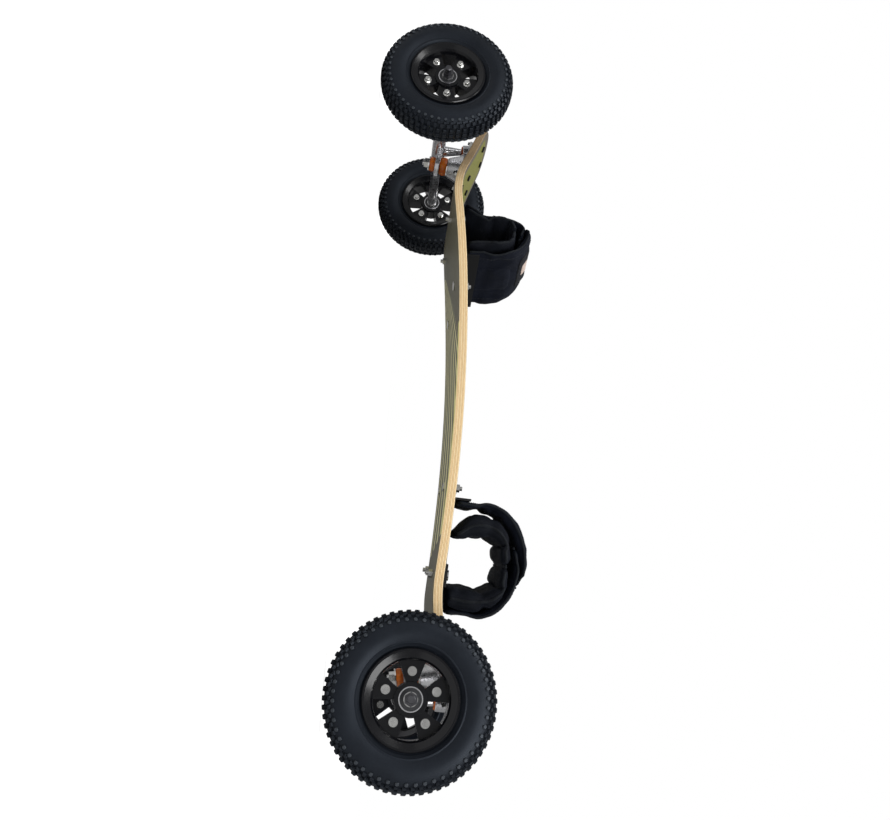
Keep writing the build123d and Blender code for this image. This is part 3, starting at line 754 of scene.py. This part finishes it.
def strap_space(end, across, up, along):
    """A point of the strap, drawn as a front one. The front strap's outer side sags inwards."""
    if end == "front":
        across -= 27 * MM * ease(up, 0.0, 40 * MM) * ease(across, -25 * MM, 65 * MM)
        along += 3 * MM
    return Vector((MIDDLE[end], 0, STRAP_HEIGHT)) + ACROSS * across + UP * up + ALONG * along


def arch_line(end, inset, side, sweep, foot, spacing):
    """Points up one leg of the arch and over its top, evenly spaced."""
    half, rise = HALF_WIDTH[end] - inset, RISE - inset
    dense = [(side * half, foot + (LEG - foot) * k / 60) for k in range(60)]
    for k in range(401):
        angle = math.radians(sweep) * k / 400
        dense.append((side * half * math.cos(angle), LEG + rise * math.sin(angle)))
    return evenly([Vector(p) for p in dense], spacing)


def evenly(points, spacing):
    """The same line with its points one spacing apart."""
    total = sum((b - a).length for a, b in zip(points, points[1:]))
    count = max(2, round(total / spacing))
    step = total / count
    result = [points[0]]
    travelled = 0.0
    for a, b in zip(points, points[1:]):
        run = (b - a).length
        while len(result) < count and travelled + run >= step * len(result):
            result.append(a.lerp(b, (step * len(result) - travelled) / run))
        travelled += run
    result.append(points[-1])
    return result


def section_loop(thickness, half_length, count):
    """A rounded flat section, as (along, through) pairs; through is positive outside."""
    dense = []
    for k in range(721):
        angle = 2 * math.pi * k / 720
        along = math.copysign(abs(math.cos(angle)) ** 0.22, math.cos(angle)) * half_length
        through = math.copysign(abs(math.sin(angle)) ** 0.55, math.sin(angle)) * thickness / 2
        dense.append(Vector((along, through)))
    total = sum((b - a).length for a, b in zip(dense, dense[1:]))
    return evenly(dense, total / count)[:count]


def band_mesh(name, end, line, side, thickness, count, seams=(), narrow=0.0, bulge=0.0, gap=0.0):
    """A padded band along an arch line. It is thinner at the sewn seams, given as shares of its length.
    Its inner face is set in by bulge near the root, and up to the height gap its outer face is too."""
    half_length = HALF_LENGTH[end] - 1.5 * MM
    rings = len(line)
    verts = []
    weave = []
    for i, point in enumerate(line):
        ahead = line[min(i + 1, rings - 1)] - line[max(i - 1, 0)]
        ahead.normalize()
        out = Vector((ahead.y, -ahead.x)) * side
        share = i / (rings - 1)
        end_gap = min(share, 1 - share) * (rings - 1)
        thin = 0.30 if end_gap < 0.5 else (0.75 if end_gap < 1.5 else 1.0)
        for seam in seams:
            thin *= 1 - 0.5 * math.exp(-(((share - seam) * rings / 1.1) ** 2))
        width = half_length * (1 - narrow * max(0.0, share - 0.45) / 0.55)
        if share > 0.9:
            width -= half_length * 0.10 * ((share - 0.9) / 0.1) ** 2
        for along, through in section_loop(thickness, half_length, count):
            spot = point + out * (through * thin - thickness / 2)
            inside = 0.5 - through / thickness
            set_in = inside * (1 - ease(spot.y, 8 * MM, 96 * MM))
            if gap:
                set_in += (1 - inside) * (1 - ease(spot.y, 8 * MM, gap))
            set_in *= side * bulge
            verts.append(strap_space(end, spot.x - set_in, spot.y, along * width / half_length))
            weave.append((i * GRID, along))
    faces = skin(rings, count)
    faces.append(tuple(reversed(range(count))))
    faces.append(tuple((rings - 1) * count + k for k in range(count)))
    mesh = mesh_from(name, verts, faces)
    layer = mesh.uv_layers.new(name="weave")
    for loop in mesh.loops:
        layer.data[loop.index].uv = weave[loop.vertex_index]
    outward_faces(mesh)
    return mesh


PUFF_FRAMES = 20


def puff(piece, count, cap, slack, pressure=4.0):
    """Cloth simulation of a stuffed cover: it swells and wrinkles, but no point moves further than cap.
    The first rings, of count points each, are held by the bracket."""
    rest = [v.co.copy() for v in piece.data.vertices]
    only_selected(piece)
    cloth = piece.modifiers.new("Cloth", "CLOTH")
    settings = cloth.settings
    settings.quality = 6
    settings.mass = 0.25
    settings.use_pressure = True
    settings.uniform_pressure_force = pressure
    settings.shrink_min = -slack
    settings.tension_stiffness = 22
    settings.compression_stiffness = 12
    settings.shear_stiffness = 6
    settings.bending_stiffness = 0.25
    settings.effector_weights.gravity = 0
    cloth.collision_settings.use_collision = False
    cloth.collision_settings.use_self_collision = False
    cloth.point_cache.frame_start = 1
    cloth.point_cache.frame_end = PUFF_FRAMES
    scene = bpy.context.scene
    for number in range(1, PUFF_FRAMES + 1):
        scene.frame_set(number)
    bpy.ops.object.modifier_apply(modifier=cloth.name)
    scene.frame_set(1)
    for number, (v, home) in enumerate(zip(piece.data.vertices, rest)):
        move = v.co - home
        free = ease(number // count, 1, 8)
        v.co = home + move * (free * min(1.0, cap / max(move.length, 1e-9)))


def crease(piece, height, seed):
    """Soft folds that run across the strap, drawn into the mesh along its normals."""
    offset = Vector((seed, seed * 0.37, 0))
    mesh = piece.data
    normals = [v.normal.copy() for v in mesh.vertices]
    for v, normal in zip(mesh.vertices, normals):
        local = v.co - Vector((MIDDLE["rear"], 0, STRAP_HEIGHT))
        spot = Vector((local.dot(ACROSS) * 75, local.dot(UP) * 75, local.dot(ALONG) * 26)) + offset
        fine = noise.noise(spot * 2.3)
        v.co += normal * height * (noise.noise(spot) + 0.4 * fine)


def tube(solid, points, radius, sides=8):
    """A round tube through points."""
    verts = []
    last = len(points) - 1
    side_way = None
    for i, point in enumerate(points):
        ahead = (points[min(i + 1, last)] - points[max(i - 1, 0)]).normalized()
        if side_way is None:
            side_way = ahead.orthogonal().normalized()
        side_way = (side_way - ahead * side_way.dot(ahead)).normalized()
        up_way = ahead.cross(side_way)
        for k in range(sides):
            angle = 2 * math.pi * k / sides
            verts.append(point + (side_way * math.cos(angle) + up_way * math.sin(angle)) * radius)
    faces = skin(len(points), sides)
    faces.append(tuple(reversed(range(sides))))
    faces.append(tuple(last * sides + k for k in range(sides)))
    solid.add(verts, faces)


class Strap:
    """One padded band of a binding, with the trim sewn on it. It is drawn at the front."""

    def __init__(self, end, name, node, inset, side, sweep, foot, thickness, material, slot, **shape):
        self.end = end
        self.name = name
        self.node = node
        self.slot = slot
        self.count = SECTION_POINTS
        line = arch_line(end, inset, side, sweep, foot, GRID)
        self.rings = len(line)
        mesh = band_mesh(name, end, line, side, thickness, self.count, **shape)
        self.piece = new_piece(f"{end}_{name}", mesh, material)
        self.trim = []

    def grid(self):
        """Positions and normals of the band's grid before subdivision: [ring][place round the section]."""
        mesh = self.piece.data
        spots = [v.co.copy() for v in mesh.vertices]
        normals = [v.normal.copy() for v in mesh.vertices]
        rows = [spots[i * self.count:(i + 1) * self.count] for i in range(self.rings)]
        ways = [normals[i * self.count:(i + 1) * self.count] for i in range(self.rings)]
        return rows, ways

    def finish_surface(self, cap, slack, folds, seed):
        puff(self.piece, self.count, cap, slack)
        crease(self.piece, folds, seed)
        self.piece.data.update()

    def place_at(self, rows, ways, ring, place, rise):
        """A point on the band at fractional ring and place, lifted by rise."""
        i = max(0, min(self.rings - 2, int(ring)))
        f = ring - i
        k = int(place) % self.count
        g = place - int(place)
        n = (k + 1) % self.count
        spot = rows[i][k].lerp(rows[i][n], g).lerp(rows[i + 1][k].lerp(rows[i + 1][n], g), f)
        way = ways[i][k].lerp(ways[i][n], g).lerp(ways[i + 1][k].lerp(ways[i + 1][n], g), f).normalized()
        return spot + way * rise

    def edging(self, radius):
        """Tape bound round both long edges and the free end."""
        rows, ways = self.grid()
        solid = Solid()
        for place in (0, self.count // 2):
            run = [rows[i][place] - ways[i][place] * radius * 0.4 for i in range(1, self.rings - 1)]
            tube(solid, run, radius)
        loop = [rows[-1][k] + (rows[-1][k] - rows[-2][k]) * 0.1 for k in range(self.count)]
        middle = [(loop[k] + loop[-k]) / 2 for k in range(self.count // 2 + 1)]
        tube(solid, middle, radius * 1.1)
        self.add_trim(f"{self.name}_edging", solid.mesh("edging"), TAPE, self.slot)

    def stitches(self, name, routes, radius=0.34 * MM):
        """Short raised stitches along routes of (ring, place) points."""
        rows, ways = self.grid()
        solid = Solid()
        for route in routes:
            for (r0, p0), (r1, p1) in zip(route, route[1:]):
                a = self.place_at(rows, ways, r0, p0, 0.25 * MM)
                b = self.place_at(rows, ways, r1, p1, 0.25 * MM)
                pieces = max(1, round((b - a).length / (3.4 * MM)))
                for s in range(pieces):
                    lo, hi = (s + 0.15) / pieces, (s + 0.85) / pieces
                    ends = [
                        self.place_at(rows, ways, r0 + (r1 - r0) * t, p0 + (p1 - p0) * t, rise)
                        for t, rise in ((lo, -0.1 * MM), ((lo + hi) / 2, 0.45 * MM), (hi, -0.1 * MM))
                    ]
                    tube(solid, ends, radius, 5)
        self.add_trim(f"{self.name}_{name}", solid.mesh(name), THREAD, self.slot)

    def patch(self, name, ring_0, ring_1, place_0, place_1, thickness, material, slot):
        """A sewn-on layer that follows the band."""
        rows, ways = self.grid()
        across, down = 22, 22
        verts = []
        weave = []
        corner = 0.14
        for level in (1, 0):
            for i in range(across + 1):
                for j in range(down + 1):
                    s, t = i / across, j / down
                    inset = 0.0
                    for c in (s, 1 - s):
                        if c < corner:
                            inset = max(inset, (1 - math.sqrt(1 - (1 - c / corner) ** 2)) * corner)
                    t = inset + t * (1 - 2 * inset)
                    rim = min(s, 1 - s, j / down, 1 - j / down)
                    rise = (thickness * (0.55 + 0.45 * min(1.0, rim / 0.09))) if level else -0.9 * MM
                    ring = ring_0 + (ring_1 - ring_0) * s
                    place = place_0 + (place_1 - place_0) * t
                    verts.append(self.place_at(rows, ways, ring, place, rise))
                    weave.append((ring * GRID, place * GRID))
        size = (across + 1) * (down + 1)
        faces = []
        for i in range(across):
            for j in range(down):
                a = i * (down + 1) + j
                quad = (a, a + 1, a + down + 2, a + down + 1)
                faces.append(quad)
                faces.append(tuple(size + q for q in reversed(quad)))
        for i in range(across):
            for j in (0, down):
                a, b = i * (down + 1) + j, (i + 1) * (down + 1) + j
                faces.append((a, b, size + b, size + a))
        for j in range(down):
            for i in (0, across):
                a, b = i * (down + 1) + j, i * (down + 1) + j + 1
                faces.append((a, b, size + b, size + a))
        mesh = mesh_from(name, verts, faces)
        layer = mesh.uv_layers.new(name="weave")
        for loop in mesh.loops:
            layer.data[loop.index].uv = weave[loop.vertex_index]
        self.add_trim(f"{self.name}_{name}", mesh, material, slot)

    def add_trim(self, name, mesh, material, slot):
        if not mesh.uv_layers:
            layer = mesh.uv_layers.new(name="weave")
            for loop in mesh.loops:
                spot = mesh.vertices[loop.vertex_index].co
                layer.data[loop.index].uv = (spot.x + spot.z, spot.y)
        outward_faces(mesh)
        smooth_faces(mesh)
        self.trim.append((new_piece(f"{self.end}_{name}", mesh, material), slot))

    def fit_out(self, fill):
        apply_modifier(self.piece, "SUBSURF", levels=1)
        smooth_faces(self.piece.data)
        for piece, slot_name in [(self.piece, self.slot)] + self.trim:
            if self.end == "rear":
                piece.data.transform(Matrix.Scale(-1, 4, (1, 0, 0)))
                piece.data.flip_normals()
            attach(piece, "board")
        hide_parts(f"{self.end}_{self.node}")


def edge_route(place, first, last):
    return [(ring, place) for ring in range(first, last)]


def box_route(ring_0, ring_1, place_0, place_1):
    """A stitched rectangle, with a point on each grid line it crosses."""
    steps = 8
    corners = [(ring_0, place_0), (ring_1, place_0), (ring_1, place_1), (ring_0, place_1), (ring_0, place_0)]
    route = []
    for (r0, p0), (r1, p1) in zip(corners, corners[1:]):
        route += [(r0 + (r1 - r0) * k / steps, p0 + (p1 - p0) * k / steps) for k in range(steps)]
    return route + [corners[0]]


def make_straps(end, seed):
    """The section runs from the toe edge, over the outside, to the heel edge and back inside."""
    inner = Strap(
        end, "inner_strap_cover", "inner_strap", 0.0, -1, 112, 4 * MM, 8 * MM, NYLON, "strap_fabric",
        narrow=0.10,
    )
    inner.finish_surface(3.0 * MM, 0.05, 1.7 * MM, seed + 3.1)
    outer = Strap(
        end, "outer_strap_cover", "outer_strap", 8.3 * MM, 1, 112, 4 * MM, 8 * MM, NYLON, "strap_fabric",
        narrow=0.06,
    )
    outer.finish_surface(2.5 * MM, 0.05, 1.5 * MM, seed + 8.4)
    linings = []
    wide = end == "rear"
    for name, side, offset, bulge, gap in (
        ("inner_liner", -1, 5.2, 22 * MM if wide else 4 * MM, 32 * MM if wide else 0.0),
        ("outer_liner", 1, 12.9, 15 * MM if wide else 0.0, 0.0),
    ):
        lining = Strap(
            end, f"{name}_pad", name, 16.8 * MM, side, 88, 5 * MM, 14 * MM if wide else 11 * MM, KNIT,
            "strap_lining", seams=(0.40, 0.72), bulge=bulge, gap=gap,
        )
        lining.finish_surface(4.0 * MM, 0.07, 2.2 * MM, seed + offset)
        linings.append(lining)

    outside = inner.count * 0.25
    for strap in (inner, outer):
        strap.edging(1.5 * MM)
        last = strap.rings - 2
        near, far = 3.2, strap.count / 2 - 3.2
        strap.stitches("stitching", [edge_route(near, 2, last), edge_route(far, 2, last)])
    top = inner.rings - 3
    inner.patch("webbing", 1, top - 15, outside - 6, outside + 6, 1.0 * MM, NYLON, "strap_fabric")
    inner.stitches("webbing_stitching", [box_route(2, 8, outside - 5, outside + 5)])
    inner.patch("closure", top - 12, top, outside - 8, outside + 8, 1.9 * MM, HOOKS, "strap_fabric")
    inner.patch("label", top - 10, top - 6, outside - 3, outside + 3, 2.4 * MM, LABEL, "strap_fabric")
    outer.patch("webbing", 1, outer.rings - 16, outside - 6, outside + 6, 1.6 * MM, NYLON, "strap_fabric")
    for strap in linings:
        strap.edging(2.0 * MM)
        strap.fit_out(0.75)
    for strap in (inner, outer):
        strap.fit_out(0.55)


# ---------------------------------------------------------------- floor, light, camera
def make_stage():
    floor = new_piece(
        "floor", mesh_from("floor", [(-9, -9, 0), (9, -9, 0), (9, 9, 0), (-9, 9, 0)], [(0, 1, 2, 3)]), None
    )
    material, tree, shader = new_material("pale_floor", (0.51, 0.51, 0.51), 0.9)
    floor.data.materials.append(material)
    shade = grain(tree, object_place(tree), 3.0)
    base = ramp(tree, shade, (0.3, (0.50, 0.50, 0.50)), (0.7, (0.52, 0.52, 0.52)))
    tree.links.new(base, shader.inputs["Base Color"])
    shader.inputs["Emission Color"].default_value = (1, 1, 1, 1)
    seen = tree.nodes.new("ShaderNodeLightPath").outputs["Is Camera Ray"]
    tree.links.new(remap(tree, seen, 0, 1, 0.0, 0.88), shader.inputs["Emission Strength"])
    world = bpy.data.worlds.new("studio")
    bpy.context.scene.world = world
    world.use_nodes = True
    tree = world.node_tree
    seen = tree.nodes.new("ShaderNodeLightPath").outputs["Is Camera Ray"]
    background = tree.nodes["Background"]
    background.inputs["Color"].default_value = (1, 1, 1, 1)
    tree.links.new(remap(tree, seen, 0, 1, 0.30, 1.0), background.inputs["Strength"])
    bpy.context.scene.view_settings.view_transform = "Standard"


def soft_light(name, place, target, size, power):
    light = bpy.data.lights.new(name, "AREA")
    light.shape = "RECTANGLE"
    light.size, light.size_y = size
    light.energy = power
    lamp = bpy.data.objects.new(name, light)
    bpy.context.scene.collection.objects.link(lamp)
    lamp.location = place
    lamp.rotation_euler = (Vector(target) - Vector(place)).to_track_quat("-Z", "Y").to_euler()


def make_lights():
    soft_light("key", (-1.1, 1.6, 1.5), (0, 0, 0.1), (0.9, 1.6), 34)
    soft_light("top", (0.4, 0.3, 2.2), (0, 0, 0.1), (1.6, 1.0), 22)
    soft_light("front_strip", (1.3, 1.9, 1.4), (0.1, 0, 0.1), (0.4, 1.4), 12)


CAMERA_PLACE = Vector((-0.4391, 1.1444, 0.0529))
CAMERA_TURN = (-0.3433, 0.0793, -0.0637)    # a small turn, as a rotation vector, from the view below
CAMERA_BASE = Matrix(((0, 0, 1), (1, 0, 0), (0, 1, 0)))  # +Z to the right, +X up, looking along -Y
LENS = 32.69


def make_camera():
    camera = bpy.data.cameras.new("camera")
    camera.sensor_width = 36
    camera.lens = LENS
    camera.clip_start = 0.01
    holder = bpy.data.objects.new("camera", camera)
    bpy.context.scene.collection.objects.link(holder)
    turn = Vector(CAMERA_TURN)
    view = Matrix.Rotation(turn.length, 3, turn.normalized()) @ CAMERA_BASE
    holder.matrix_world = Matrix.Translation(CAMERA_PLACE) @ view.transposed().to_4x4()
    bpy.context.scene.camera = holder


make_camera()
make_stage()
make_lights()
make_deck()
for end in ENDS:
    make_cast(f"{end}_hanger", f"{end}_truck", 0.9 * MM)
    make_cast(f"{end}_truck_base", "board", 0.9 * MM)
    make_bushing(end, "boardside")
    make_bushing(end, "roadside")
make_tyres()
make_straps("front", 0.0)
make_straps("rear", 40.0)
